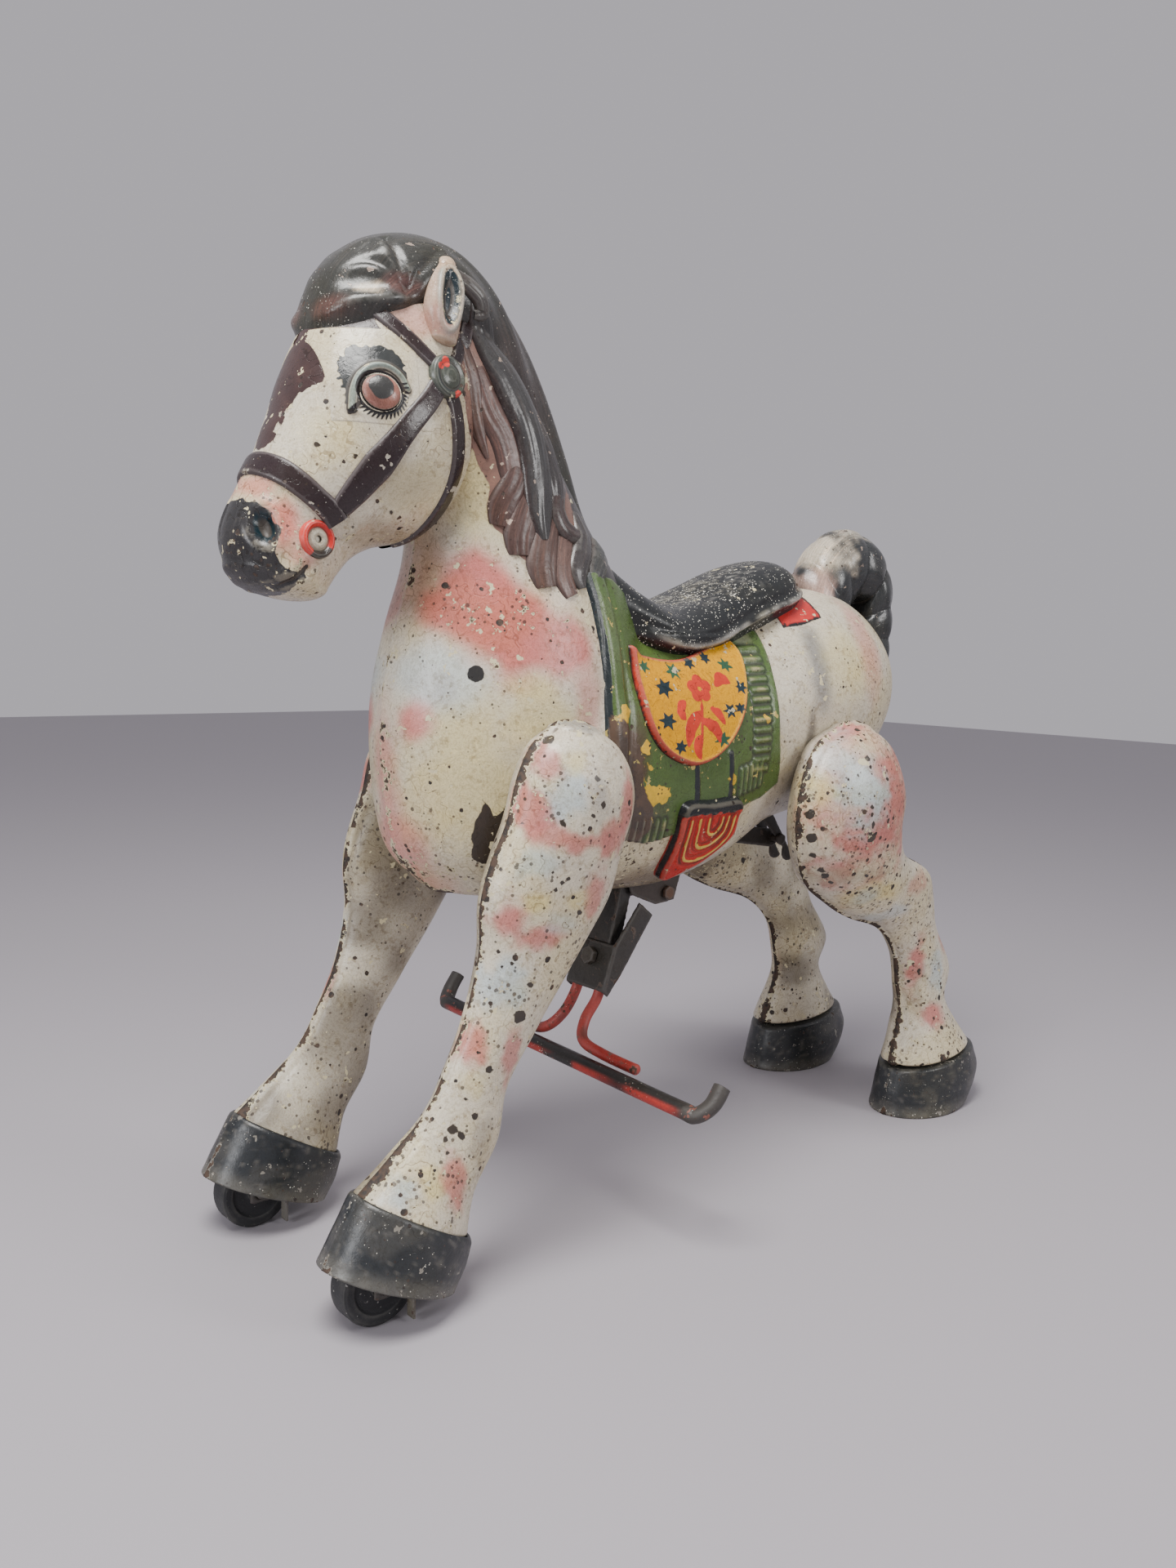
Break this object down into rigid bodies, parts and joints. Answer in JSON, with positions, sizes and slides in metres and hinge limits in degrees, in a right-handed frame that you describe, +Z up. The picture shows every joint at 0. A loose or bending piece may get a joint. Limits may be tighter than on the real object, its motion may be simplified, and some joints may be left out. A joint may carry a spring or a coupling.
{
  "type": "ride-on toy horse",
  "caption": "Pressed-steel ride-on pony with moulded saddle and mane, splayed legs, wheels in its front hooves and a stirrup bar under the belly.",
  "frame": {"origin": "on the floor, under the middle of the bounding box", "axes": "+Z up, +X forwards to the nose, +Y to the pony's left"},
  "size_m": [0.79, 0.356, 0.741],
  "materials": {
    "cream_enamel": "worn gloss enamel",
    "black_enamel": "worn gloss enamel",
    "red_enamel": "chipped enamel",
    "bare_iron": "dark, greasy steel",
    "wheel_rubber": "worn solid rubber"
  },
  "bodies": {
    "pony": {"body": "cream_enamel", "front_left_leg": "cream_enamel", "front_right_leg": "cream_enamel", "rear_left_leg": "cream_enamel", "rear_right_leg": "cream_enamel", "front_left_hoof": "black_enamel", "front_right_hoof": "black_enamel", "rear_left_hoof": "black_enamel", "rear_right_hoof": "black_enamel", "front_left_axle": "bare_iron", "front_right_axle": "bare_iron", "front_left_fork": "bare_iron", "front_right_fork": "bare_iron", "front_left_drag_tab": "bare_iron", "front_right_drag_tab": "bare_iron", "left_stirrup_rod": "red_enamel", "right_stirrup_rod": "red_enamel", "foot_bar": "bare_iron", "sleeve": "bare_iron", "sleeve_nut": "bare_iron", "lever": "bare_iron", "left_belly_bracket": "bare_iron", "right_belly_bracket": "bare_iron", "belly_bolt": "bare_iron", "left_hanger": "bare_iron", "right_hanger": "bare_iron", "link": "bare_iron", "link_bolt": "bare_iron"},
    "left_wheel": {"front_left_wheel": "wheel_rubber"},
    "right_wheel": {"front_right_wheel": "wheel_rubber"}
  },
  "joints": [
    {"name": "left_wheel_spin", "type": "hinge", "parent": "pony", "child": "left_wheel", "pos_m": [0.332, 0.09, 0.029], "axis": [0, 1, 0], "continuous": true},
    {"name": "right_wheel_spin", "type": "hinge", "parent": "pony", "child": "right_wheel", "pos_m": [0.332, -0.09, 0.029], "axis": [0, 1, 0], "continuous": true}
  ]
}
